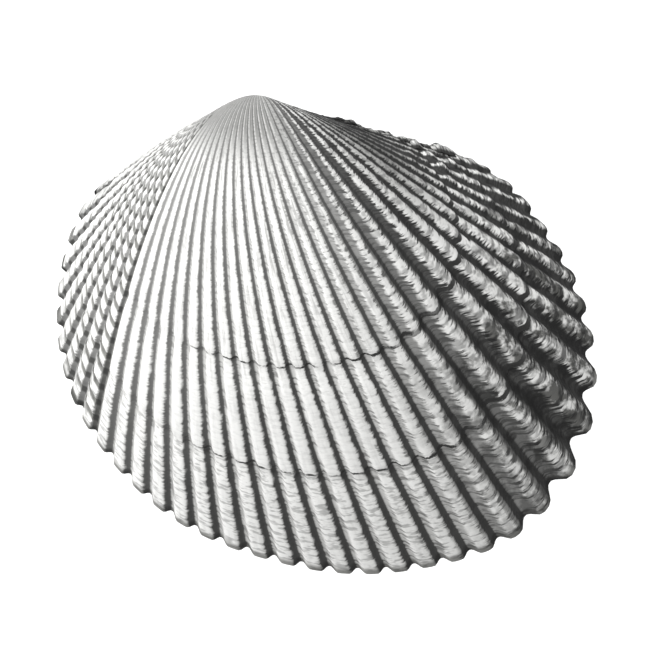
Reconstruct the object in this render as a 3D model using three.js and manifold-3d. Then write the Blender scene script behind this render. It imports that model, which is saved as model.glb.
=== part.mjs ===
// One valve of a ribbed cockle shell, lying dome up on its rim.
// The valve grew as one piece, so it is one solid: a dome wound about the hinge line, with ribs
// that fan out from the beak, two growth steps and a hollow underside behind a hinge plate.
// Millimetres. +X points to the rear end, +Y to the beak and hinge, +Z up.

import * as THREE from 'three';
import { LoftGeometry } from 'three/addons/geometries/LoftGeometry.js';
import { mergeVertices } from 'three/addons/utils/BufferGeometryUtils.js';
import Module from 'manifold-3d';

// Rim along the bottoms of its furrows, from the rear hinge end round the lower edge to the front one.
// Each point is measured from the beak: x towards the rear end, y towards the lower edge.
const RIM_POINTS = [
  [3.0, 0.9],
  [8.6, 3.1],
  [15.5, 4.5],
  [27.5, 8.7],
  [33.4, 15.2],
  [37.4, 22.9],
  [38.7, 31.5],
  [36.6, 41.5],
  [29.7, 51.6],
  [17.5, 55.8],
  [5.5, 55.5],
  [-10.1, 49.4],
  [-20.8, 36.7],
  [-23.2, 24.0],
  [-19.6, 11.7],
  [-11.0, 6.0],
  [-3.0, 0.9],
];

// Growth: a younger rim is a smaller one, turned up about the hinge line through the beak.
const SHRINK_RATE = 1.5; // natural logarithm of the shrinkage for each radian of turn
const SHRINK_GAIN = 0.27; // and for each radian squared
const DOME_SWELL = 1.6; // height of the dome against a plain turn
const DOME_LEAN = -0.24; // drift of the dome towards the front end for each millimetre of height

// Behind the beak the dome dips along the rear hinge edge.
const DIP_SHARE = 0.6; // share of the swell that is lost along that edge
const DIP_START = THREE.MathUtils.degToRad(17); // directions from the beak between which the dip ends
const DIP_END = THREE.MathUtils.degToRad(26);

// Ribs. Those of the rear edge are wider and stand taller.
const RIB_PITCH = 3.307; // furrow to furrow along the rim
const RIB_RISE = 0.23; // rise of a rib above its furrows, as a share of its pitch
const RIB_SHOULDER = 0.27; // where the crest starts, as a share of the pitch
const RIB_SLANT = 0.8; // how far rib ends point away from the beak instead of square off the rim
const FIRST_FURROW_ARC = 3.1; // along the rim from the rear hinge end
const LAST_FURROW_ARC = 174;
const RIB_FADE = 10; // the ribs rise to their full height over this stretch from each hinge end
const REAR_RIB_ARC = 59.2; // middle of the rear edge, along the rim
const REAR_RIB_SPREAD = 8.7;
const REAR_PITCH_GAIN = 0.765;
const REAR_RISE_GAIN = 0.5;

// Growth stops: each leaves a step, where the new lip starts inside the old one.
const GROWTH_STOPS = [0.648, 0.83]; // shell size at each stop, as a share of the full size
const STOP_STEP = 0.35;
const STOP_FADE = 0.07;
const STOP_WIDTH = 0.006;

// Hollow underside
const WALL = 2.0; // width of the rim's flat face at a furrow
const HINGE_PLATE = 5.0; // depth of the flat plate inside the beak
const HINGE_MARGIN = 0.9; // nearest the hollow comes to its own turning line
const CAVITY_STATIONS = 56;
const CAVITY_OVERCUT = 1.0; // how far the cutting shape reaches below the rim

// Sockets in the hinge plate for the other valve's teeth: two beside the middle tooth, one towards each end.
// Their middles are measured from the beak as the rim is, and their turns are from the rear end.
const SOCKETS = [
  { x: -1.7, y: 3.3, halfLength: 1.3, halfWidth: 0.7, turnDegrees: 110 },
  { x: 1.9, y: 3.4, halfLength: 1.4, halfWidth: 0.7, turnDegrees: 65 },
  { x: -6.8, y: 4.5, halfLength: 1.7, halfWidth: 0.5, turnDegrees: 30 },
  { x: 10.5, y: 4.5, halfLength: 2.3, halfWidth: 0.5, turnDegrees: -16 },
];
const SOCKET_DEPTH = 0.8;
const SOCKET_SIDES = 12;
const SOCKET_ROWS = 8;

// The dome and the hollow are lofted through evenly spaced younger rims, down to a smallest one.
const DOME_ROWS = 19;
const CAVITY_ROWS = 11;
const SMALLEST_RIM = 0.02;

const rim = new THREE.CatmullRomCurve3(RIM_POINTS.map(([x, y]) => new THREE.Vector3(x, y, 0)));
const rimLength = rim.getLength();

// Turn about the hinge line, in radians, of the rim that the shell had at this size
function turnAtSize(size) {
  const shrink = -Math.log(size);
  return (Math.sqrt(SHRINK_RATE ** 2 + 4 * SHRINK_GAIN * shrink) - SHRINK_RATE) / (2 * SHRINK_GAIN);
}

// Sizes of the younger rims, largest first
function rimSizes(rows) {
  const sizes = Array.from({ length: rows }, (_, row) => 1 - row / rows);
  return [...sizes, SMALLEST_RIM];
}

// Swell of the dome along the rib that ends at this rim point
function swellAlong(x, y) {
  const dip = 1 - THREE.MathUtils.smoothstep(Math.atan2(y, x), DIP_START, DIP_END);
  return DOME_SWELL * (1 - DIP_SHARE * dip);
}

// Place of a rim point, given from its turning line, when the shell had this size
function grownPoint(x, y, size) {
  const turn = turnAtSize(size);
  const height = swellAlong(x, y) * size * y * Math.sin(turn);
  return new THREE.Vector3(size * x + DOME_LEAN * height, -size * y * Math.cos(turn), height);
}

// Rim point at an arc length, with the direction square off the rim
function rimStation(arc) {
  const point = rim.getPointAt(arc / rimLength);
  const tangent = rim.getTangentAt(arc / rimLength);
  return { point, outward: new THREE.Vector3(tangent.y, -tangent.x, 0) };
}

// How much a rib at this arc length belongs to the rear edge, from 0 to 1
function rearShare(arc) {
  return Math.exp(-0.5 * ((arc - REAR_RIB_ARC) / REAR_RIB_SPREAD) ** 2);
}

// Outline of the ribbed rim: a furrow and two crest shoulders for each rib
function ribbedRim() {
  const outline = [];
  const addStation = (arc, rise) => {
    const { point, outward } = rimStation(arc);
    const awayFromBeak = point.clone().normalize();
    const direction = outward.clone().addScaledVector(awayFromBeak, RIB_SLANT).normalize();
    outline.push({ point: point.addScaledVector(direction, rise), outward });
  };
  addStation(0, 0);
  let arc = FIRST_FURROW_ARC;
  while (arc < LAST_FURROW_ARC) {
    const rear = rearShare(arc);
    const pitch = RIB_PITCH * (1 + REAR_PITCH_GAIN * rear);
    const fromHinge = Math.min(arc, rimLength - arc - pitch);
    const fade = THREE.MathUtils.smoothstep(fromHinge, 0, RIB_FADE);
    const rise = fade * RIB_RISE * pitch * (1 + REAR_RISE_GAIN * rear);
    addStation(arc, 0);
    addStation(arc + RIB_SHOULDER * pitch, rise);
    addStation(arc + (1 - RIB_SHOULDER) * pitch, rise);
    arc += pitch;
  }
  addStation(rimLength, 0);
  return outline.reverse();
}

// Depth of the growth steps at this size
function stepDepth(size) {
  let depth = 0;
  for (const stop of GROWTH_STOPS) {
    const grown = size - stop;
    if (grown > 0) depth += STOP_STEP * Math.max(0, 1 - grown / STOP_FADE);
  }
  return depth;
}

// Outside of the valve, closed flat across the rim
function domeGeometry() {
  const outline = ribbedRim();
  const stepSizes = GROWTH_STOPS.flatMap((stop) => [stop, stop + STOP_WIDTH]);
  const sizes = [...rimSizes(DOME_ROWS), ...stepSizes].sort((a, b) => b - a);
  const sections = sizes.map((size) => outline.map(({ point, outward }) => {
    const inset = stepDepth(size) / size;
    return grownPoint(point.x - inset * outward.x, point.y - inset * outward.y, size);
  }));
  return new LoftGeometry(sections, { closed: true, capStart: true, capEnd: true });
}

// Inside of the valve, as the solid shape that is cut out of the dome
function cavityGeometry() {
  const outline = [];
  for (let index = 0; index <= CAVITY_STATIONS; index += 1) {
    const { point, outward } = rimStation(rimLength * index / CAVITY_STATIONS);
    const x = point.x - WALL * outward.x;
    const y = point.y - WALL * outward.y - HINGE_PLATE;
    if (y > HINGE_MARGIN) outline.push({ x, y });
  }
  outline.reverse();
  const sections = rimSizes(CAVITY_ROWS).map((size) => outline.map(({ x, y }) => grownPoint(x, y, size)));
  const overcut = sections[0].map((point) => point.clone().setZ(-CAVITY_OVERCUT));
  const geometry = new LoftGeometry([overcut, ...sections], { closed: true, capStart: true, capEnd: true });
  return geometry.translate(0, -HINGE_PLATE, 0);
}

// One socket, as the oval shape that is cut out of the hinge plate
function socketGeometry({ x, y, halfLength, halfWidth, turnDegrees }) {
  const geometry = new THREE.SphereGeometry(1, SOCKET_SIDES, SOCKET_ROWS);
  geometry.scale(halfLength, halfWidth, SOCKET_DEPTH);
  geometry.rotateZ(THREE.MathUtils.degToRad(turnDegrees));
  return geometry.translate(x, -y, 0);
}

const wasm = await Module();
wasm.setup();

function solidFrom(geometry) {
  const bare = new THREE.BufferGeometry().copy(geometry);
  bare.deleteAttribute('normal');
  bare.deleteAttribute('uv');
  const merged = mergeVertices(bare);
  return new wasm.Manifold(new wasm.Mesh({
    numProp: 3,
    vertProperties: new Float32Array(merged.attributes.position.array),
    triVerts: new Uint32Array(merged.index.array),
  }));
}

function geometryFrom(solid) {
  const mesh = solid.getMesh();
  const geometry = new THREE.BufferGeometry();
  geometry.setAttribute('position', new THREE.BufferAttribute(mesh.vertProperties, 3));
  geometry.setIndex(new THREE.BufferAttribute(mesh.triVerts, 1));
  geometry.computeVertexNormals();
  return geometry;
}

// Chalky shell, pale grey and dull
const shellMaterial = new THREE.MeshStandardMaterial({ color: 0xd6d4d0, roughness: 0.62, metalness: 0 });

let valveSolid = solidFrom(domeGeometry()).subtract(solidFrom(cavityGeometry()));
for (const socket of SOCKETS) valveSolid = valveSolid.subtract(solidFrom(socketGeometry(socket)));
const valveGeometry = geometryFrom(valveSolid);
const valve = new THREE.Mesh(valveGeometry, shellMaterial);
valve.name = 'valve';

// The origin is on the surface that the rim rests on, under the middle of the valve.
valveGeometry.computeBoundingBox();
const middle = valveGeometry.boundingBox.getCenter(new THREE.Vector3());
valve.position.set(-middle.x, -middle.y, -valveGeometry.boundingBox.min.z);

const shell = new THREE.Group();
shell.add(valve);

export default shell;
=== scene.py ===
"""One valve of a ribbed cockle shell: a chalk-white dome with dark furrows, lying on a pale floor.

The valve is grown the way the animal grows it. Its rim is drawn once, flat, and every younger rim is a
copy of it, shrunk towards the beak and turned up about the hinge line.
"""

import logging
import math
from bisect import bisect_right
from dataclasses import dataclass, field
from enum import Enum

import bmesh
import bpy
from bpy.types import NodeSocket, NodeTree
from mathutils import Matrix, Vector, noise
from mathutils.geometry import interpolate_bezier


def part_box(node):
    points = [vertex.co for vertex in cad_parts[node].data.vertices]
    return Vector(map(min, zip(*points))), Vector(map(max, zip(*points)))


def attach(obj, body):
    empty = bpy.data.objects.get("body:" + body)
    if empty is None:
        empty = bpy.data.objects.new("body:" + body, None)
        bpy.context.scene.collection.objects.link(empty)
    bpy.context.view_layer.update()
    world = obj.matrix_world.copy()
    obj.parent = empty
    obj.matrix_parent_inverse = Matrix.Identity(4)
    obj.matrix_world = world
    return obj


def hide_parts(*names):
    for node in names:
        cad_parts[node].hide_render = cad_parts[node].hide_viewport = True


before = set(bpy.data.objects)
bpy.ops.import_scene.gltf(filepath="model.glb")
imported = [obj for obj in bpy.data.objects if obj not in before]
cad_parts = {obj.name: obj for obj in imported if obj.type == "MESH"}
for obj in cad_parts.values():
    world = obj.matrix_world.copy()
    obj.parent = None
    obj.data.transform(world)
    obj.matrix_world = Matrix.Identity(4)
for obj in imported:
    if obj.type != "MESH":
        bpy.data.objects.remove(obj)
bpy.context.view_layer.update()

LOG = logging.getLogger("cockle_shell")
MM = 0.001
BODY = "root"


class Zone(Enum):
    """Part of the shell's surface, as the number that its material reads."""

    OUTSIDE = 0.0
    INSIDE = 1.0


def smoothstep(value: float, start: float, end: float) -> float:
    """Blend from 0 at start to 1 at end.

    Args:
        value: Place between the two ends, or beyond them.
        start: Place where the blend is still 0.
        end: Place where the blend has reached 1.

    Returns:
        The smooth share, from 0 to 1.
    """
    share = min(max((value - start) / (end - start), 0.0), 1.0)
    return share * share * (3.0 - 2.0 * share)


def linear(hex_colour: str) -> tuple[float, float, float, float]:
    """Turn an sRGB hex colour into linear light.

    Args:
        hex_colour: Six hex digits after a hash sign.

    Returns:
        Red, green, blue and an alpha of 1.
    """
    parts = [int(hex_colour[i:i + 2], 16) / 255.0 for i in (1, 3, 5)]
    red, green, blue = (p / 12.92 if p <= 0.04045 else ((p + 0.055) / 1.055) ** 2.4 for p in parts)
    return red, green, blue, 1.0


def add_node(tree: NodeTree, kind: str, inputs: dict | None = None, output: int | str = 0,
             **settings) -> NodeSocket | None:
    """Add a node with its settings and links.

    Args:
        tree: Node tree that gets the node.
        kind: Blender's name of the node type.
        inputs: Input sockets by name or number, each with a socket to link or a value to set.
        output: Output socket to give back, by name or number.
        **settings: Properties of the node.

    Returns:
        The output socket, or None for a node that has none.
    """
    node = tree.nodes.new(kind)
    for name, value in settings.items():
        setattr(node, name, value)
    for key, value in (inputs or {}).items():
        if isinstance(value, NodeSocket):
            tree.links.new(value, node.inputs[key])
        else:
            node.inputs[key].default_value = value
    return node.outputs[output] if node.outputs else None


@dataclass(frozen=True)
class Growth:
    """How the shell grew: a younger rim is smaller, and turned up about the hinge line.

    The logarithm of the shrinkage grows by the rate for each radian of turn, and by the gain for each radian
    squared. Sizes are shares of the full size, and the step at a growth stop is in millimetres.
    """

    shrink_rate: float = 1.5
    shrink_gain: float = 0.27
    swell: float = 1.6
    lean: float = -0.24
    dip_share: float = 0.6
    dip_start: float = math.radians(17.0)
    dip_end: float = math.radians(26.0)
    stops: tuple[float, ...] = (0.648, 0.83)
    stop_step: float = 0.22
    stop_fade: float = 0.06
    stop_width: float = 0.004

    def turn(self, size: float) -> float:
        """Give the turn about the hinge line of a younger rim.

        Args:
            size: Size of the shell at that age, as a share of the full size.

        Returns:
            The turn in radians.
        """
        shrink = -math.log(size)
        root = math.sqrt(self.shrink_rate ** 2 + 4.0 * self.shrink_gain * shrink)
        return (root - self.shrink_rate) / (2.0 * self.shrink_gain)

    def swell_along(self, x: float, y: float) -> float:
        """Give the swell of the dome along one rib.

        Args:
            x: Rear-ward place of the rib's end on the rim, from the turning line's middle.
            y: Its place towards the lower edge, from the turning line.

        Returns:
            The factor on the height of that rib.
        """
        dip = 1.0 - smoothstep(math.atan2(y, x), self.dip_start, self.dip_end)
        return self.swell * (1.0 - self.dip_share * dip)

    def step_depth(self, size: float) -> float:
        """Give how far the growth stops set the surface back, in millimetres.

        Args:
            size: Size of the shell at that age, as a share of the full size.

        Returns:
            The depth of the step there.
        """
        depth = 0.0
        for stop in self.stops:
            fresh = smoothstep(size, stop, stop + self.stop_width)
            depth += self.stop_step * fresh * (1.0 - smoothstep(size, stop, stop + self.stop_fade))
        return depth


@dataclass
class Rim:
    """Rim of the full-grown shell along the bottoms of its furrows, in millimetres from the beak.

    It runs from the rear hinge end round the lower edge to the front hinge end: x towards the rear end,
    y towards the lower edge.
    """

    points: tuple[tuple[float, float], ...] = (
        (3.0, 0.9), (8.6, 3.1), (15.5, 4.5), (27.5, 8.7), (33.4, 15.2), (37.4, 22.9),
        (38.7, 31.5), (36.6, 41.5), (29.7, 51.6), (17.5, 55.8), (5.5, 55.5), (-10.1, 49.4),
        (-20.8, 36.7), (-23.2, 24.0), (-19.6, 11.7), (-11.0, 6.0), (-3.0, 0.9),
    )
    steps: int = 32
    path: list[Vector] = field(init=False)
    arcs: list[float] = field(init=False)

    def __post_init__(self) -> None:
        """Lay a smooth path through the points and measure along it."""
        knots = [Vector((x, y, 0.0)) for x, y in self.points]
        knots = [2.0 * knots[0] - knots[1], *knots, 2.0 * knots[-1] - knots[-2]]
        self.path = [knots[1]]
        for before, start, end, after in zip(knots, knots[1:], knots[2:], knots[3:]):
            leave, arrive = self._handles(before, start, end, after)
            self.path += interpolate_bezier(start, leave, arrive, end, self.steps)[1:]
        self.arcs = [0.0]
        for here, there in zip(self.path, self.path[1:]):
            self.arcs.append(self.arcs[-1] + (there - here).length)

    @staticmethod
    def _handles(before: Vector, start: Vector, end: Vector, after: Vector) -> tuple[Vector, Vector]:
        """Give the handles of a smooth span that suits uneven spacing.

        Args:
            before: Point before the span.
            start: First point of the span.
            end: Last point of the span.
            after: Point after the span.

        Returns:
            The handle that leaves the start and the handle that arrives at the end.
        """
        first, middle, last = (math.sqrt((b - a).length) for a, b in
                               ((before, start), (start, end), (end, after)))
        leave = (start - before) / first - (end - before) / (first + middle) + (end - start) / middle
        arrive = (end - start) / middle - (after - start) / (middle + last) + (after - end) / last
        return start + leave * middle / 3.0, end - arrive * middle / 3.0

    @property
    def length(self) -> float:
        """Length along the rim."""
        return self.arcs[-1]

    def at(self, arc: float) -> tuple[Vector, Vector]:
        """Find a place on the rim.

        Args:
            arc: Distance along the rim from the rear hinge end.

        Returns:
            The point, and the direction square off the rim there.
        """
        span = min(max(bisect_right(self.arcs, arc) - 1, 0), len(self.path) - 2)
        start, end = self.path[span], self.path[span + 1]
        share = (arc - self.arcs[span]) / (self.arcs[span + 1] - self.arcs[span])
        along = (end - start).normalized()
        return start.lerp(end, share), Vector((along.y, -along.x, 0.0))


@dataclass(frozen=True)
class Ribs:
    """Ribs that fan out from the beak. Those of the rear edge are wider and stand taller.

    Places along the rim are in millimetres from the rear hinge end, and a rib's own sizes are shares of its
    pitch or of its half width.
    """

    pitch: float = 3.307
    rise: float = 0.23
    slant: float = 0.8
    first_furrow: float = 3.1
    last_furrow: float = 174.0
    fade: float = 10.0
    rear_arc: float = 59.2
    rear_spread: float = 8.7
    rear_pitch_gain: float = 0.765
    rear_rise_gain: float = 0.5
    crest_half: float = 0.42
    flank_end: float = 0.96
    crown: float = 0.16
    rear_ribs: tuple[float, float] = (16.0, 24.0)
    rear_crest_loss: float = 0.2
    phases: tuple[float, ...] = (0.0, 0.06, 0.13, 0.2, 0.29, 0.42, 0.58, 0.71, 0.8, 0.87, 0.94)

    def rear_share(self, arc: float) -> float:
        """Give how much a rib belongs to the rear edge.

        Args:
            arc: Distance along the rim from the rear hinge end.

        Returns:
            A share from 0 to 1.
        """
        return math.exp(-0.5 * ((arc - self.rear_arc) / self.rear_spread) ** 2)

    def profile(self, rib: float) -> float:
        """Give the height of a rib's section. The ribs of the rear edge are rounder.

        Args:
            rib: Rib count, with the place across the rib as its fraction.

        Returns:
            The height as a share of the rib's rise.
        """
        aside = abs(2.0 * (rib % 1.0) - 1.0)
        rear = 1.0 - smoothstep(rib, *self.rear_ribs)
        crest_half = self.crest_half - self.rear_crest_loss * rear
        return (1.0 - smoothstep(aside, crest_half, self.flank_end)) * (1.0 - self.crown * aside ** 2)


@dataclass(frozen=True)
class Column:
    """One line up the shell: outside from the rim to the beak, inside from the rim to the hollow's end."""

    flat: Vector
    outer: Vector
    inner: Vector
    rib: float
    rise: float

    def towards(self, other: "Column", share: float) -> "Column":
        """Set out a column without a rib between this one and another.

        Args:
            other: The column on the far side.
            share: How far it is towards the other one, from 0 to 1.

        Returns:
            The column.
        """
        flat = self.flat.lerp(other.flat, share)
        outer = self.outer.lerp(other.outer, share)
        inner = self.inner.lerp(other.inner, share)
        return Column(flat, outer, inner, self.rib, 0.0)


@dataclass(frozen=True)
class Socket:
    """Oval pit in the hinge plate for a tooth of the other valve, in millimetres from the beak."""

    x: float
    y: float
    half_length: float
    half_width: float
    turn: float

    def depth_share(self, place: Vector) -> float:
        """Give how deep the pit is at a place.

        Args:
            place: Point of the hinge plate.

        Returns:
            A share from 0 outside the pit to 1 at its middle.
        """
        offset = Matrix.Rotation(-self.turn, 3, "Z") @ (place - Vector((self.x, -self.y, 0.0)))
        reach = (offset.x / self.half_length) ** 2 + (offset.y / self.half_width) ** 2
        return math.sqrt(max(1.0 - reach, 0.0))


@dataclass(frozen=True)
class Relief:
    """Fine relief of the outside: beads on the front ribs, wrinkles and knobs on the rear ones.

    Heights are in millimetres, and pitches are shares of the full size. A bead's gap is a share of its rib.
    """

    first_beaded_rib: float = 35.0
    bead_pitch: float = 0.038
    bead_stagger: float = 0.37
    bead_gap: float = 0.75
    wrinkle: float = 0.08
    wrinkle_pitch: float = 0.02
    wrinkle_across: float = 1.9
    wrinkle_elsewhere: float = 0.2
    wrinkle_full_size: float = 1.0 / 3.0
    wrinkled_ribs: tuple[float, float] = (17.0, 22.0)
    knob: float = 1.1
    knob_pitch: float = 0.06
    knob_across: float = 0.45
    knob_seed: float = 5.0
    knobbed_ribs: tuple[float, float] = (7.0, 12.0)
    knobbed_sizes: tuple[float, float] = (0.3, 0.5)

    def height(self, column: Column, crest: float, size: float) -> float:
        """Give the height of the relief at one place.

        Args:
            column: The line up the shell.
            crest: Height of the rib's section there, as a share of its rise.
            size: Size of the shell when that place grew.

        Returns:
            The height along the normal, in millimetres.
        """
        height = 0.0
        rib = math.floor(column.rib)
        if rib >= self.first_beaded_rib:
            wave = math.cos(2.0 * math.pi * (size / self.bead_pitch + self.bead_stagger * rib))
            height -= self.bead_gap * column.rise * size * crest * (0.5 - 0.5 * wave)
        rear = 1.0 - smoothstep(column.rib, *self.wrinkled_ribs)
        share = self.wrinkle_elsewhere + (1.0 - self.wrinkle_elsewhere) * rear
        wrinkle = noise.noise(Vector((column.rib * self.wrinkle_across, size / self.wrinkle_pitch, 0.0)))
        height += self.wrinkle * share * wrinkle * min(1.0, size / self.wrinkle_full_size)
        slope = 1.0 - smoothstep(column.rib, *self.knobbed_ribs)
        knob = noise.noise(Vector((column.rib * self.knob_across, size / self.knob_pitch, self.knob_seed)))
        height += self.knob * slope * max(knob, 0.0) * smoothstep(size, *self.knobbed_sizes)
        return height


class Blend(Enum):
    """How a ramp changes between its ends, by Blender's name for it."""

    STRAIGHT = "LINEAR"
    SMOOTH = "SMOOTHSTEP"


@dataclass(frozen=True)
class Ramp:
    """Change of a level over a stretch of the shell, which may run downwards."""

    start: float
    end: float
    first: float = 0.0
    last: float = 1.0
    blend: Blend = Blend.SMOOTH

    def over(self, value: NodeSocket) -> dict:
        """Describe the Map Range node that draws the ramp.

        Args:
            value: Socket that the ramp runs over.

        Returns:
            The node's kind, inputs and settings, as add_node takes them.
        """
        inputs = {"Value": value, "From Min": self.start, "From Max": self.end,
                  "To Min": self.first, "To Max": self.last}
        return {"kind": "ShaderNodeMapRange", "inputs": inputs, "interpolation_type": self.blend.value}


@dataclass(frozen=True)
class Reading:
    """What the shell's material knows of each place, as sockets of its node tree.

    The rib count and the size at which the place grew come from the mesh. Mottle is uneven wear, lines and
    wrinkles are fine and coarse growth lines, and rear is the share of the rear slope.
    """

    tree: NodeTree
    place: NodeSocket
    rib: NodeSocket
    size: NodeSocket
    mottle: NodeSocket
    lines: NodeSocket
    wrinkles: NodeSocket
    rear: NodeSocket


@dataclass(frozen=True)
class ShellFinish:
    """Dry cockle shell, grown in layers and weathered to chalk white.

    It gives the eye smooth bright rib crests; furrows full of fine cross lines, painted darker than the
    crests as shade in the grooves; painted shade in the gaps between the beads at the front; a rough rear
    slope painted darker, partly as its own tone and partly as shade; darker slopes beside the hinge; painted
    shade along the rim; and a plain white inside.

    A ramp runs over the rib count, which starts at the rear hinge end, unless its comment names another
    value. Sizes are those of the shell when the place grew, as shares of the full size.
    """

    name: str = "weathered_cockle_shell"
    ior: float = 1.55
    relief: Relief = Relief()
    stops: tuple[float, ...] = Growth.stops

    # Noises and bump: the growth lines are drawn coarser than real ones, so that they show
    line_spacing_mm: float = 0.42
    wrinkle_spacing_mm: float = 1.3
    grain_mm: float = 0.3
    mottle_mm: float = 1.6
    blotch_mm: float = 2.4
    bump_mm: float = 0.06
    bump_strength: float = 0.4
    line_depth: float = -0.6
    rib_path_mm: float = 70.0
    lines_per_rib: float = 1.7
    line_edge: Ramp = Ramp(0.46, 0.62)  # over the noise
    roughness: Ramp = Ramp(0.0, 1.0, 0.5, 0.85, Blend.STRAIGHT)  # over the furrow share

    # Rear slope
    rear_slope: Ramp = Ramp(21.0, 15.0)

    # Width of the furrows
    furrow_shift: float = 0.05
    furrow_wear: float = 0.6
    furrow_edge: Ramp = Ramp(24.0, 16.0, 0.84, 0.56)
    furrow_ragged: Ramp = Ramp(24.0, 16.0, 0.1, 0.3)
    furrow_narrowed: Ramp = Ramp(18.0, 13.5, 0.0, 0.24)
    furrow_widened: Ramp = Ramp(13.0, 9.0, 0.0, 0.34)
    furrow_young: Ramp = Ramp(0.7, 0.3, 0.0, 0.16, Blend.STRAIGHT)  # over the size
    furrow_old: Ramp = Ramp(0.75, 0.95, 0.0, 0.1, Blend.STRAIGHT)  # over the size
    furrow_softness: Ramp = Ramp(0.0, 0.3)  # over the distance past the edge

    # Crests
    crest: str = "#dfdfdd"
    crest_line: str = "#626261"
    rear_crest: str = "#dededc"
    beak: str = "#757573"
    beak_sizes: Ramp = Ramp(0.34, 0.17)  # over the size
    streaks_per_rib: float = 4.5
    streaks_per_size: float = 14.0
    streak_edge: Ramp = Ramp(0.48, 0.66)  # over the noise
    streak_sizes: Ramp = Ramp(0.75, 0.3, 0.12, 0.75, Blend.STRAIGHT)  # over the size
    late_lines: Ramp = Ramp(0.828, 0.834, 0.12, 0.5, Blend.STRAIGHT)  # over the size
    wrinkle_sizes: Ramp = Ramp(0.5, 0.9, 0.55, 0.9, Blend.STRAIGHT)  # over the size

    # Furrows: painted shade in the grooves and a painted shadow at each rib's rear foot, darker on the rear
    # slope
    furrow: str = "#b0b0ae"
    # Growth lines in the furrows and the painted shadow at each rib's rear foot share this colour
    furrow_line_and_shadow: str = "#3e3e3d"
    # Rear slope furrows: painted shade on the side away from the key light, partly the slope's own darker
    # tone
    rear_furrow_shade: str = "#333332"
    rear_furrow_line_and_shade: str = "#181817"
    # Painted shadow along the rear foot of each rib, on its side away from the key light
    foot_shadow_phase: float = 0.13
    foot_shadow_width: Ramp = Ramp(0.16, 0.06)  # over the distance from the rib's foot
    furrow_lines: float = 0.55
    # These scale the furrows' growth lines and painted foot shadow: less towards the beak and the front end
    furrow_line_and_shadow_sizes: Ramp = Ramp(0.3, 1.0, 0.68, 1.3, Blend.STRAIGHT)  # over the size
    furrow_line_and_shadow_ribs: Ramp = Ramp(36.0, 24.0, 0.62, 1.0, Blend.STRAIGHT)
    # Share of the darkest painted shade in the rear furrows, following the growth lines
    rear_furrow_line_share: Ramp = Ramp(0.0, 0.5, 0.35, 1.0, Blend.STRAIGHT)  # over the growth lines

    # Darker slopes beside the hinge, and painted shade along the rim
    hinge_slope: str = "#5f5f5d"
    rear_hinge: Ramp = Ramp(9.0, 1.0)
    front_hinge: Ramp = Ramp(41.0, 47.0, 0.0, 0.35)
    darkened_ribs: Ramp = Ramp(17.0, 10.0)
    darkened_sizes: Ramp = Ramp(0.72, 0.42)  # over the size
    # Painted shade along the rim, where the outside meets the floor
    rim_shade: str = "#8f8f8d"
    rim_shade_sizes: Ramp = Ramp(0.986, 0.996)  # over the size

    # Front ribs: painted shade in the gaps between the beads, and a line at the first beaded rib
    # Painted shade in the recessed gaps between the beads
    gap: str = "#888886"
    bead_gap_shade_width: Ramp = Ramp(0.1, -0.8)  # over the beads' wave
    front_line: str = "#b0b0ae"
    front_line_half: float = 0.12

    # Blotches and growth stops
    blotch: str = "#5e5e5c"
    blotch_edge: Ramp = Ramp(0.44, 0.58)  # over the noise
    blotch_sizes: Ramp = Ramp(0.64, 0.76)  # over the size
    blotch_ribs: Ramp = Ramp(7.0, 12.0)
    stop_line: str = "#262625"
    stop_reach: Ramp = Ramp(30.5, 29.0, blend=Blend.STRAIGHT)
    stop_breaks: Ramp = Ramp(0.37, 0.52, blend=Blend.STRAIGHT)  # over the mottle
    stop_half_width: Ramp = Ramp(20.0, 14.0, 0.0018, 0.0065, Blend.STRAIGHT)
    stop_wander: float = 0.012

    # Inside
    inside: str = "#e9e8e5"
    scar: str = "#c9c8c4"
    scar_ribs: tuple[float, float] = (9.0, 42.0)
    scar_size: float = 0.66
    scar_edge: Ramp = Ramp(0.12, 0.09)  # over the distance from the scar's middle
    ribs_per_size: float = 30.0

    def material(self) -> bpy.types.Material:
        """Build the shell's material.

        Returns:
            The material, which reads the attributes rib, size and zone of the shell's mesh.
        """
        material = bpy.data.materials.new(self.name)
        material.use_nodes = True
        tree = material.node_tree
        tree.nodes.clear()
        zone = add_node(tree, "ShaderNodeAttribute", output="Fac", attribute_name="zone")
        at = self._read(tree)
        grain = add_node(tree, "ShaderNodeTexNoise", {
            "Vector": at.place, "Scale": 1.0 / (self.grain_mm * MM), "Detail": 2.0, "Roughness": 0.5,
        })
        furrow = self._furrow(at)
        outside = self._outside(at, furrow)
        colour = add_node(tree, "ShaderNodeMix", {
            0: zone, 6: outside, 7: self._inside(at),
        }, output=2, data_type="RGBA")
        height = add_node(tree, "ShaderNodeMath", {
            0: at.lines, 1: self.line_depth, 2: grain,
        }, operation="MULTIPLY_ADD")
        bump = add_node(tree, "ShaderNodeBump", {
            "Height": height, "Strength": self.bump_strength, "Distance": self.bump_mm * MM,
        })
        roughness = add_node(tree, **self.roughness.over(furrow))
        shader = add_node(tree, "ShaderNodeBsdfPrincipled", {
            "Base Color": colour, "Roughness": roughness, "IOR": self.ior, "Normal": bump,
        })
        add_node(tree, "ShaderNodeOutputMaterial", {"Surface": shader})
        return material

    def _read(self, tree: NodeTree) -> Reading:
        """Set up what the colours depend on.

        Args:
            tree: Node tree of the material.

        Returns:
            The sockets.
        """
        rib, size = (add_node(tree, "ShaderNodeAttribute", output="Fac", attribute_name=name)
                     for name in ("rib", "size"))
        place = add_node(tree, "ShaderNodeTexCoord", output="Object")
        mottle = add_node(tree, "ShaderNodeTexNoise", {
            "Vector": place, "Scale": 1.0 / (self.mottle_mm * MM), "Detail": 4.0, "Roughness": 0.65,
        })
        lines, wrinkles = (self._lines(tree, rib, size, spacing)
                           for spacing in (self.line_spacing_mm, self.wrinkle_spacing_mm))
        rear = add_node(tree, **self.rear_slope.over(rib))
        return Reading(tree, place, rib, size, mottle, lines, wrinkles, rear)

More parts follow.
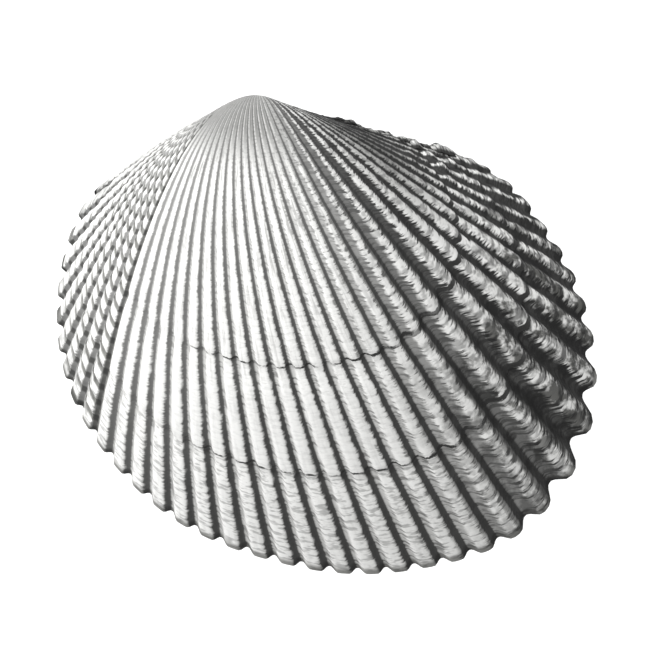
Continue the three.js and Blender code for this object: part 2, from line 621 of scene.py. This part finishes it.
    def _lines(self, tree: NodeTree, rib: NodeSocket, size: NodeSocket, spacing_mm: float) -> NodeSocket:
        """Draw broken growth lines, which run across the ribs.

        Args:
            tree: Node tree of the material.
            rib: Rib count.
            size: Size of the shell when the place grew.
            spacing_mm: Usual distance from line to line.

        Returns:
            The lines as a share.
        """
        upward = add_node(tree, "ShaderNodeMath", {
            0: size, 1: self.rib_path_mm / spacing_mm,
        }, operation="MULTIPLY")
        across = add_node(tree, "ShaderNodeMath", {
            0: rib, 1: self.lines_per_rib,
        }, operation="MULTIPLY")
        place = add_node(tree, "ShaderNodeCombineXYZ", {"X": across, "Y": upward})
        streaks = add_node(tree, "ShaderNodeTexNoise", {
            "Vector": place, "Scale": 1.0, "Detail": 2.0, "Roughness": 0.65,
        })
        return add_node(tree, **self.line_edge.over(streaks))

    def _outside(self, at: Reading, furrow: NodeSocket) -> NodeSocket:
        """Colour the outside: crests and furrows first, then what lies over them.

        Args:
            at: Sockets of the material.
            furrow: Share of the furrows.

        Returns:
            The colour.
        """
        front_line = add_node(at.tree, "ShaderNodeMath", {
            0: at.rib, 1: self.relief.first_beaded_rib + self.furrow_shift, 2: self.front_line_half,
        }, operation="COMPARE")
        # Painted shade along the rim, where the outside meets the floor
        rim_shade = add_node(at.tree, **self.rim_shade_sizes.over(at.size))
        colour = add_node(at.tree, "ShaderNodeMix", {
            0: furrow, 6: self._crest(at), 7: self._trough(at),
        }, output=2, data_type="RGBA")
        # Over crests and furrows: painted shade in the bead gaps, blotches, growth-stop lines, the front
        # line, darker hinge slopes and painted shade along the rim
        for share, over, blend in (
            (self._bead_gap_shadows(at), self.gap, "MULTIPLY"),
            (self._blotches(at), self.blotch, "MULTIPLY"),
            (self._stop_lines(at), self.stop_line, "MIX"),
            (front_line, self.front_line, "MULTIPLY"),
            (self._hinge_slopes(at), self.hinge_slope, "MULTIPLY"),
            (rim_shade, self.rim_shade, "MULTIPLY"),
        ):
            colour = add_node(at.tree, "ShaderNodeMix", {
                0: share, 6: colour, 7: linear(over),
            }, output=2, data_type="RGBA", blend_type=blend)
        return colour

    def _furrow(self, at: Reading) -> NodeSocket:
        """Find the furrows between the ribs, with worn edges.

        They are wider on the rear slope, at the beak and at the rim, and narrower on the upper rear ribs.

        Args:
            at: Sockets of the material.

        Returns:
            A share, 0 on a crest and 1 in a furrow.
        """
        tree = at.tree
        shifted = add_node(tree, "ShaderNodeMath", {
            0: at.rib, 1: self.furrow_shift,
        }, operation="SUBTRACT")
        phase = add_node(tree, "ShaderNodeMath", {0: shifted}, operation="FRACT")
        centred = add_node(tree, "ShaderNodeMath", {
            0: phase, 1: 2.0, 2: -1.0,
        }, operation="MULTIPLY_ADD")
        aside = add_node(tree, "ShaderNodeMath", {0: centred}, operation="ABSOLUTE")
        worn = add_node(tree, "ShaderNodeMath", {
            0: at.mottle, 1: self.furrow_wear, 2: aside,
        }, operation="MULTIPLY_ADD")
        ragged = add_node(tree, **self.furrow_ragged.over(at.rib))
        worn = add_node(tree, "ShaderNodeMath", {
            0: at.lines, 1: ragged, 2: worn,
        }, operation="MULTIPLY_ADD")
        for ramp, value, operation in (
            (self.furrow_young, at.size, "ADD"),
            (self.furrow_old, at.size, "ADD"),
            (self.furrow_edge, at.rib, "SUBTRACT"),
            (self.furrow_narrowed, at.rib, "SUBTRACT"),
            (self.furrow_widened, at.rib, "ADD"),
        ):
            change = add_node(tree, **ramp.over(value))
            worn = add_node(tree, "ShaderNodeMath", {0: worn, 1: change}, operation=operation)
        return add_node(tree, **self.furrow_softness.over(worn))

    def _crest(self, at: Reading) -> NodeSocket:
        """Colour the crests: grey at the beak, wrinkled at the rear, lined since the last growth stop.

        Args:
            at: Sockets of the material.

        Returns:
            The colour.
        """
        tree = at.tree
        beak = add_node(tree, **self.beak_sizes.over(at.size))
        streaks = self._streaks(at)
        grey = add_node(tree, "ShaderNodeMath", {0: beak, 1: streaks}, operation="MAXIMUM")
        crest = add_node(tree, "ShaderNodeMix", {
            0: grey, 6: linear(self.crest), 7: linear(self.beak),
        }, output=2, data_type="RGBA")
        crest = add_node(tree, "ShaderNodeMix", {
            0: at.rear, 6: crest, 7: linear(self.rear_crest),
        }, output=2, data_type="RGBA")
        late = add_node(tree, **self.late_lines.over(at.size))
        fine = add_node(tree, "ShaderNodeMath", {0: at.lines, 1: late}, operation="MULTIPLY")
        outward = add_node(tree, **self.wrinkle_sizes.over(at.size))
        rough = add_node(tree, "ShaderNodeMath", {0: at.wrinkles, 1: at.rear}, operation="MULTIPLY")
        drawn = add_node(tree, "ShaderNodeMath", {
            0: rough, 1: outward, 2: fine,
        }, operation="MULTIPLY_ADD", use_clamp=True)
        return add_node(tree, "ShaderNodeMix", {
            0: drawn, 6: crest, 7: linear(self.crest_line),
        }, output=2, data_type="RGBA")

    def _streaks(self, at: Reading) -> NodeSocket:
        """Draw the grey streaks along the ribs, strongest towards the beak.

        Args:
            at: Sockets of the material.

        Returns:
            The streaks as a share.
        """
        tree = at.tree
        across = add_node(tree, "ShaderNodeMath", {
            0: at.rib, 1: self.streaks_per_rib,
        }, operation="MULTIPLY")
        along = add_node(tree, "ShaderNodeMath", {
            0: at.size, 1: self.streaks_per_size,
        }, operation="MULTIPLY")
        place = add_node(tree, "ShaderNodeCombineXYZ", {"X": across, "Y": along})
        streaks = add_node(tree, "ShaderNodeTexNoise", {
            "Vector": place, "Scale": 1.0, "Detail": 3.0, "Roughness": 0.6,
        })
        streaks = add_node(tree, **self.streak_edge.over(streaks))
        young = add_node(tree, **self.streak_sizes.over(at.size))
        return add_node(tree, "ShaderNodeMath", {0: streaks, 1: young}, operation="MULTIPLY")

    def _trough(self, at: Reading) -> NodeSocket:
        """Colour the furrows with painted shade in the grooves: darkest as a painted shadow along the rear
        foot of each rib, on its side away from the key light, and dark all over on the rear slope, partly
        its own tone and partly painted shade.

        They pale towards the front end and towards the beak.

        Args:
            at: Sockets of the material.

        Returns:
            The colour.
        """
        tree = at.tree
        # Painted shadow along the rear foot of each rib, on its side away from the key light
        shifted = add_node(tree, "ShaderNodeMath", {
            0: at.rib, 1: 0.5 - self.foot_shadow_phase,
        }, operation="ADD")
        phase = add_node(tree, "ShaderNodeMath", {0: shifted}, operation="FRACT")
        centred = add_node(tree, "ShaderNodeMath", {0: phase, 1: 0.5}, operation="SUBTRACT")
        aside = add_node(tree, "ShaderNodeMath", {0: centred}, operation="ABSOLUTE")
        foot = add_node(tree, **self.foot_shadow_width.over(aside))
        # Growth lines and the painted foot shadow, then scaled down towards the beak and the front end
        dark = add_node(tree, "ShaderNodeMath", {
            0: at.lines, 1: self.furrow_lines, 2: foot,
        }, operation="MULTIPLY_ADD", use_clamp=True)
        for ramp, value in ((self.furrow_line_and_shadow_sizes, at.size), (self.furrow_line_and_shadow_ribs, at.rib)):
            darkening = add_node(tree, **ramp.over(value))
            dark = add_node(tree, "ShaderNodeMath", {0: dark, 1: darkening}, operation="MULTIPLY")
        trough = add_node(tree, "ShaderNodeMix", {
            0: dark, 6: linear(self.furrow), 7: linear(self.furrow_line_and_shadow),
        }, output=2, data_type="RGBA")
        # Rear furrows: painted shade, partly the rear slope's own darker tone; the growth lines pick the
        # darkest of it
        rear_dark = add_node(tree, **self.rear_furrow_line_share.over(at.lines))
        rear_trough = add_node(tree, "ShaderNodeMix", {
            0: rear_dark, 6: linear(self.rear_furrow_shade), 7: linear(self.rear_furrow_line_and_shade),
        }, output=2, data_type="RGBA")
        return add_node(tree, "ShaderNodeMix", {
            0: at.rear, 6: trough, 7: rear_trough,
        }, output=2, data_type="RGBA")

    def _hinge_slopes(self, at: Reading) -> NodeSocket:
        """Find the slopes beside the hinge, which are painted darker: most behind the beak, least at the
        front.

        Args:
            at: Sockets of the material.

        Returns:
            The darkening as a share.
        """
        tree = at.tree
        behind = add_node(tree, **self.darkened_ribs.over(at.rib))
        young = add_node(tree, **self.darkened_sizes.over(at.size))
        darkening = add_node(tree, "ShaderNodeMath", {0: behind, 1: young}, operation="MULTIPLY")
        for ramp in (self.rear_hinge, self.front_hinge):
            slope = add_node(tree, **ramp.over(at.rib))
            darkening = add_node(tree, "ShaderNodeMath", {0: darkening, 1: slope}, operation="MAXIMUM")
        return darkening

    def _bead_gap_shadows(self, at: Reading) -> NodeSocket:
        """Find the gaps between the beads of the front ribs, where shade is painted.

        Args:
            at: Sockets of the material.

        Returns:
            A share, 1 in the middle of a gap.
        """
        tree = at.tree
        front = add_node(tree, "ShaderNodeMath", {
            0: at.rib, 1: self.relief.first_beaded_rib,
        }, operation="GREATER_THAN")
        count = add_node(tree, "ShaderNodeMath", {0: at.rib}, operation="FLOOR")
        stagger = add_node(tree, "ShaderNodeMath", {
            0: count, 1: self.relief.bead_stagger,
        }, operation="MULTIPLY")
        phase = add_node(tree, "ShaderNodeMath", {
            0: at.size, 1: 1.0 / self.relief.bead_pitch, 2: stagger,
        }, operation="MULTIPLY_ADD")
        turn = add_node(tree, "ShaderNodeMath", {0: phase, 1: 2.0 * math.pi}, operation="MULTIPLY")
        wave = add_node(tree, "ShaderNodeMath", {0: turn}, operation="COSINE")
        # Painted shade in the recessed gaps between the beads
        gap = add_node(tree, **self.bead_gap_shade_width.over(wave))
        return add_node(tree, "ShaderNodeMath", {0: gap, 1: front}, operation="MULTIPLY")

    def _blotches(self, at: Reading) -> NodeSocket:
        """Scatter dark blotches over the widest rear ribs outside the first growth stop.

        Args:
            at: Sockets of the material.

        Returns:
            The blotches as a share.
        """
        tree = at.tree
        cloud = add_node(tree, "ShaderNodeTexNoise", {
            "Vector": at.place, "Scale": 1.0 / (self.blotch_mm * MM), "Detail": 5.0, "Roughness": 0.6,
        })
        blotch = add_node(tree, **self.blotch_edge.over(cloud))
        late = add_node(tree, **self.blotch_sizes.over(at.size))
        wide = add_node(tree, **self.blotch_ribs.over(at.rib))
        for share in (late, wide, at.rear):
            blotch = add_node(tree, "ShaderNodeMath", {0: blotch, 1: share}, operation="MULTIPLY")
        return blotch

    def _stop_lines(self, at: Reading) -> NodeSocket:
        """Draw the dark line at each growth stop, unbroken at the rear. It ends before the beaded ribs.

        Args:
            at: Sockets of the material.

        Returns:
            The lines as a share.
        """
        tree = at.tree
        reach = add_node(tree, **self.stop_reach.over(at.rib))
        breaks = add_node(tree, **self.stop_breaks.over(at.mottle))
        breaks = add_node(tree, "ShaderNodeMath", {0: breaks, 1: at.rear}, operation="MAXIMUM")
        uneven = add_node(tree, "ShaderNodeMath", {
            0: at.mottle, 1: self.stop_wander, 2: at.size,
        }, operation="MULTIPLY_ADD")
        half_width = add_node(tree, **self.stop_half_width.over(at.rib))
        first, last = (add_node(tree, "ShaderNodeMath", {
            0: uneven, 1: stop + self.stop_wander / 2.0, 2: half_width,
        }, operation="COMPARE") for stop in self.stops)
        line = add_node(tree, "ShaderNodeMath", {0: first, 1: last}, operation="MAXIMUM")
        for share in (reach, breaks):
            line = add_node(tree, "ShaderNodeMath", {0: line, 1: share}, operation="MULTIPLY")
        return line

    def _inside(self, at: Reading) -> NodeSocket:
        """Colour the inside: white, with the duller scars of the two closing muscles.

        Args:
            at: Sockets of the material.

        Returns:
            The colour.
        """
        tree = at.tree
        across = add_node(tree, "ShaderNodeMath", {
            0: at.rib, 1: self.ribs_per_size,
        }, operation="DIVIDE")
        place = add_node(tree, "ShaderNodeCombineXYZ", {"X": across, "Y": at.size})
        colour = linear(self.inside)
        for scar_rib in self.scar_ribs:
            middle = (scar_rib / self.ribs_per_size, self.scar_size, 0.0)
            away = add_node(tree, "ShaderNodeVectorMath", {
                0: place, 1: middle,
            }, output="Value", operation="DISTANCE")
            scar = add_node(tree, **self.scar_edge.over(away))
            colour = add_node(tree, "ShaderNodeMix", {
                0: scar, 6: colour, 7: linear(self.scar),
            }, output=2, data_type="RGBA")
        return colour


@dataclass
class Valve:
    """The half shell: a ribbed dome over a hollow, with a flat rim and a hinge plate, in millimetres."""

    growth: Growth = field(default_factory=Growth)
    rim: Rim = field(default_factory=Rim)
    ribs: Ribs = field(default_factory=Ribs)
    relief: Relief = field(default_factory=Relief)
    finish: ShellFinish = field(default_factory=ShellFinish)
    node: str = "valve"
    name: str = "valve_shell"
    slot: str = "shell"
    wall: float = 2.0
    flute: float = 0.4
    hinge_plate: float = 5.0
    hinge_margin: float = 0.9
    hinge_steps: int = 12
    outer_rows: int = 132
    inner_rows: int = 30
    lip_rows: int = 12
    smallest_rim: float = 0.02
    sockets: tuple[Socket, ...] = (
        Socket(-1.7, 3.3, 1.3, 0.7, math.radians(110)),
        Socket(1.9, 3.4, 1.4, 0.7, math.radians(65)),
        Socket(-6.8, 4.5, 1.7, 0.5, math.radians(30)),
        Socket(10.5, 4.5, 2.3, 0.5, math.radians(-16)),
    )
    socket_depth: float = 0.8
    rim_fade: float = 0.02

    def build(self) -> bpy.types.Object:
        """Grow the valve and put it where the CAD's valve is.

        Returns:
            The valve as one closed mesh.
        """
        columns = self._columns()
        mesh = bmesh.new()
        column_of = mesh.verts.layers.int.new("column")
        rib_of = mesh.verts.layers.float.new("rib")
        size_of = mesh.verts.layers.float.new("size")
        mesh.verts.layers.float.new("zone")
        ring = bmesh.ops.create_circle(mesh, segments=len(columns), radius=1.0)["verts"]
        for index, (vert, column) in enumerate(zip(ring, columns)):
            vert.co = column.outer
            vert[column_of] = index
            vert[rib_of] = column.rib
            vert[size_of] = 1.0
        rim_edges = list(mesh.edges)

        self._grow(mesh, rim_edges, self.outer_rows, Vector(), Zone.OUTSIDE)
        lip_edges = self._lay_lip(mesh, rim_edges, columns)
        self._grow(mesh, lip_edges, self.inner_rows, Vector((0.0, -self.hinge_plate, 0.0)), Zone.INSIDE)
        self._swell(mesh, columns)
        bmesh.ops.recalc_face_normals(mesh, faces=mesh.faces)
        self._carve(mesh, columns)
        for edge in rim_edges + lip_edges:
            edge.smooth = False
        mesh.verts.layers.int.remove(column_of)
        return self._place(mesh)

    def dress(self, valve: bpy.types.Object) -> None:
        """Give the valve its finish and its place in the frame.

        Args:
            valve: The valve's object.
        """
        valve.data.materials.append(self.finish.material())
        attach(valve, BODY)
        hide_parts(self.node)

    def _columns(self) -> list[Column]:
        """Set out the lines up the shell, round the rim and back across the hinge.

        Returns:
            The columns in order.
        """
        columns = [self._column(0.0, 0.0, 0.0)]
        arc = self.ribs.first_furrow
        number = 0
        while arc < self.ribs.last_furrow:
            rear = self.ribs.rear_share(arc)
            pitch = self.ribs.pitch * (1.0 + self.ribs.rear_pitch_gain * rear)
            from_hinge = min(arc, self.rim.length - arc - pitch)
            rise = self.ribs.rise * pitch * (1.0 + self.ribs.rear_rise_gain * rear)
            rise *= smoothstep(from_hinge, 0.0, self.ribs.fade)
            for phase in self.ribs.phases:
                columns.append(self._column(arc + phase * pitch, number + phase, rise))
            arc += pitch
            number += 1
        columns.append(self._column(self.rim.length, number, 0.0))
        front, rear_end = columns[-1], columns[0]
        columns += [front.towards(rear_end, step / self.hinge_steps) for step in range(1, self.hinge_steps)]
        return columns

    def _column(self, arc: float, rib: float, rise: float) -> Column:
        """Set out the column at one place on the rim.

        Args:
            arc: Distance along the rim from the rear hinge end.
            rib: Rib count there, with the place across the rib as its fraction.
            rise: Full height of that rib.

        Returns:
            The column.
        """
        point, outward = self.rim.at(min(arc, self.rim.length))
        flat = Vector((point.x, -point.y, 0.0))
        away = Vector((outward.x, -outward.y, 0.0))
        direction = (away + self.ribs.slant * flat.normalized()).normalized()
        height = rise * self.ribs.profile(rib)
        inner = flat - (self.wall - self.flute * height) * away
        inner.y = min(inner.y, -self.hinge_plate - self.hinge_margin)
        return Column(flat, flat + height * direction, inner, rib, rise)

    @staticmethod
    def _extrude(mesh: bmesh.types.BMesh, edges: list) -> tuple[list, list]:
        """Extrude a ring of edges in place.

        Args:
            mesh: The mesh in hand.
            edges: The ring.

        Returns:
            The new ring's vertices and edges.
        """
        made = bmesh.ops.extrude_edge_only(mesh, edges=edges)["geom"]
        verts = [part for part in made if isinstance(part, bmesh.types.BMVert)]
        ring = [part for part in made if isinstance(part, bmesh.types.BMEdge) and part.is_boundary]
        return verts, ring

    def _grow(self, mesh: bmesh.types.BMesh, edges: list, rows: int, hinge: Vector, zone: Zone) -> None:
        """Grow one side of the shell from the rim back to its youngest point.

        Args:
            mesh: The mesh in hand.
            edges: Ring of edges at the rim.
            rows: Number of younger rims.
            hinge: Middle of the line that the rims turn about.
            zone: Which side it is.
        """
        size_of = mesh.verts.layers.float["size"]
        zone_of = mesh.verts.layers.float["zone"]
        to_hinge = Matrix.Translation(-hinge)
        size = 1.0
        for row in range(1, rows + 1):
            younger = 1.0 - (1.0 - self.smallest_rim) * row / rows
            verts, edges = self._extrude(mesh, edges)
            bmesh.ops.scale(mesh, vec=(younger / size,) * 3, space=to_hinge, verts=verts)
            turn = self.growth.turn(younger) - self.growth.turn(size)
            bmesh.ops.rotate(mesh, cent=hinge, matrix=Matrix.Rotation(-turn, 3, "X"), verts=verts)
            for vert in verts:
                vert[size_of] = younger
                vert[zone_of] = zone.value
            size = younger
        middle = sum((vert.co for vert in verts), Vector()) / len(verts)
        bmesh.ops.pointmerge(mesh, verts=verts, merge_co=middle)

    def _lay_lip(self, mesh: bmesh.types.BMesh, edges: list, columns: list[Column]) -> list:
        """Lay the flat face of the rim and the hinge plate, with the sockets sunk in it.

        Args:
            mesh: The mesh in hand.
            edges: Ring of edges on the outside of the rim.
            columns: The lines up the shell.

        Returns:
            The ring of edges on the inside of the rim.
        """
        column_of = mesh.verts.layers.int["column"]
        zone_of = mesh.verts.layers.float["zone"]
        for row in range(1, self.lip_rows + 1):
            verts, edges = self._extrude(mesh, edges)
            for vert in verts:
                column = columns[vert[column_of]]
                vert.co = column.outer.lerp(column.inner, row / self.lip_rows)
                if row < self.lip_rows:
                    vert.co.z = self.socket_depth * max(s.depth_share(vert.co) for s in self.sockets)
                vert[zone_of] = Zone.INSIDE.value
        return edges

    def _swell(self, mesh: bmesh.types.BMesh, columns: list[Column]) -> None:
        """Raise the dome to its height and lean it towards the front end.

        Args:
            mesh: The mesh in hand.
            columns: The lines up the shell.
        """
        column_of = mesh.verts.layers.int["column"]
        size_of = mesh.verts.layers.float["size"]
        zone_of = mesh.verts.layers.float["zone"]
        for vert in mesh.verts:
            if vert[size_of] == 1.0:
                continue
            column = columns[vert[column_of]]
            if vert[zone_of] == Zone.OUTSIDE.value:
                end = column.flat
            else:
                end = column.inner + Vector((0.0, self.hinge_plate, 0.0))
            vert.co.z *= self.growth.swell_along(end.x, -end.y)
            vert.co.x += self.growth.lean * vert.co.z

    def _carve(self, mesh: bmesh.types.BMesh, columns: list[Column]) -> None:
        """Shape the growth steps and the fine relief of the outside. None of it reaches below the rim.

        Args:
            mesh: The mesh in hand.
            columns: The lines up the shell.
        """
        column_of = mesh.verts.layers.int["column"]
        size_of = mesh.verts.layers.float["size"]
        zone_of = mesh.verts.layers.float["zone"]
        mesh.normal_update()
        moves = []
        for vert in mesh.verts:
            if vert[zone_of] == Zone.OUTSIDE.value:
                height = self._relief(columns[vert[column_of]], vert[size_of])
                moves.append((vert, vert.normal * height))
        for vert, move in moves:
            vert.co += move
            vert.co.z = max(vert.co.z, 0.0)

    def _relief(self, column: Column, size: float) -> float:
        """Give how far the outside stands off its plain growth, which it meets at the rim.

        Args:
            column: The line up the shell.
            size: Size of the shell when that place grew.

        Returns:
            The height along the normal, in millimetres.
        """
        height = self.relief.height(column, self.ribs.profile(column.rib), size)
        height -= self.growth.step_depth(size)
        return height * smoothstep(1.0 - size, 0.0, self.rim_fade)

    def _place(self, mesh: bmesh.types.BMesh) -> bpy.types.Object:
        """Put the finished mesh where the CAD's valve is.

        Args:
            mesh: The mesh in hand, in millimetres from the beak. It is freed.

        Returns:
            The valve's object.
        """
        bmesh.ops.scale(mesh, vec=(MM,) * 3, verts=mesh.verts)
        low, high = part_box(self.node)
        xs = [vert.co.x for vert in mesh.verts]
        ys = [vert.co.y for vert in mesh.verts]
        zs = [vert.co.z for vert in mesh.verts]
        middle = Vector(((min(xs) + max(xs)) / 2.0, (min(ys) + max(ys)) / 2.0, min(zs)))
        goal = Vector(((low.x + high.x) / 2.0, (low.y + high.y) / 2.0, low.z))
        bmesh.ops.translate(mesh, vec=goal - middle, verts=mesh.verts)
        for face in mesh.faces:
            face.smooth = True
        data = bpy.data.meshes.new(self.name)
        mesh.to_mesh(data)
        mesh.free()
        valve = bpy.data.objects.new(self.name, data)
        bpy.context.scene.collection.objects.link(valve)
        return valve


@dataclass(frozen=True)
class FloorFinish:
    """Matt white paper: it gives the eye an even, nearly shadowless ground."""

    name: str = "matt_white_paper"
    colour: str = "#f4f4f4"
    fibre: str = "#efefef"
    fibre_mm: float = 1.5
    roughness: float = 0.9

    def material(self) -> bpy.types.Material:
        """Build the floor's material.

        Returns:
            The material.
        """
        material = bpy.data.materials.new(self.name)
        material.use_nodes = True
        tree = material.node_tree
        tree.nodes.clear()
        place = add_node(tree, "ShaderNodeTexCoord", output="Object")
        fibres = add_node(tree, "ShaderNodeTexNoise", {
            "Vector": place, "Scale": 1.0 / (self.fibre_mm * MM), "Detail": 3.0,
        })
        colour = add_node(tree, "ShaderNodeMix", {
            0: fibres, 6: linear(self.colour), 7: linear(self.fibre),
        }, output=2, data_type="RGBA")
        shader = add_node(tree, "ShaderNodeBsdfPrincipled", {
            "Base Color": colour, "Roughness": self.roughness,
        })
        add_node(tree, "ShaderNodeOutputMaterial", {"Surface": shader})
        return material


@dataclass
class Studio:
    """Floor, light and camera, in metres and degrees. The lens and its sensor are in millimetres."""

    floor_size: float = 3.0
    elevation: float = 78.0
    lens: float = 400.0
    sensor: float = 36.0
    clip_share: float = 10.0
    frame_width: float = 0.07746
    aim: tuple[float, float, float] = (0.0004, -0.00098, 0.008)
    key_direction: tuple[float, float] = (150.0, 52.0)
    key_distance: float = 0.8
    key_size: float = 0.25
    key_power: float = 9.2
    sky: str = "#ffffff"
    sky_strength: float = 0.38
    finish: FloorFinish = field(default_factory=FloorFinish)

    def build(self) -> None:
        """Lay the floor, hang the light and set up the camera."""
        self._lay_floor()
        self._hang_light()
        self._set_camera()

    def _lay_floor(self) -> None:
        """Lay the floor that the rim rests on."""
        mesh = bmesh.new()
        bmesh.ops.create_grid(mesh, x_segments=1, y_segments=1, size=self.floor_size / 2.0)
        data = bpy.data.meshes.new("floor")
        mesh.to_mesh(data)
        mesh.free()
        floor = bpy.data.objects.new("floor", data)
        bpy.context.scene.collection.objects.link(floor)
        data.materials.append(self.finish.material())

    def _hang_light(self) -> None:
        """Hang a soft key light at the upper left, and brighten the surroundings a little."""
        azimuth, elevation = (math.radians(angle) for angle in self.key_direction)
        direction = Vector((math.cos(azimuth) * math.cos(elevation),
                            math.sin(azimuth) * math.cos(elevation), math.sin(elevation)))
        data = bpy.data.lights.new("key", "AREA")
        data.shape = "DISK"
        data.size = self.key_size
        data.energy = self.key_power
        key = bpy.data.objects.new("key", data)
        key.location = direction * self.key_distance
        key.rotation_euler = direction.to_track_quat("Z", "Y").to_euler()
        bpy.context.scene.collection.objects.link(key)
        world = bpy.data.worlds.new("surroundings")
        world.use_nodes = True
        background = world.node_tree.nodes["Background"]
        background.inputs["Color"].default_value = linear(self.sky)
        background.inputs["Strength"].default_value = self.sky_strength
        bpy.context.scene.world = world

    def _set_camera(self) -> None:
        """Look down on the shell from just below its lower edge, from far off."""
        data = bpy.data.cameras.new("camera")
        data.lens = self.lens
        data.sensor_width = self.sensor
        distance = self.frame_width * self.lens / self.sensor
        tilt = math.radians(self.elevation)
        back = Vector((0.0, -math.cos(tilt), math.sin(tilt)))
        camera = bpy.data.objects.new("camera", data)
        camera.location = Vector(self.aim) + back * distance
        camera.rotation_euler = back.to_track_quat("Z", "Y").to_euler()
        data.clip_end = self.clip_share * distance
        bpy.context.scene.collection.objects.link(camera)
        bpy.context.scene.camera = camera
        bpy.context.scene.view_settings.view_transform = "Standard"


def main() -> None:
    """Build the shell and its studio."""
    logging.basicConfig(level=logging.INFO, format="%(name)s: %(message)s")
    valve = Valve()
    shell = valve.build()
    valve.dress(shell)
    LOG.info("%s: %d faces", shell.name, len(shell.data.polygons))
    Studio().build()
    LOG.info("floor, light and camera are set")


if __name__ == "__main__":
    main()
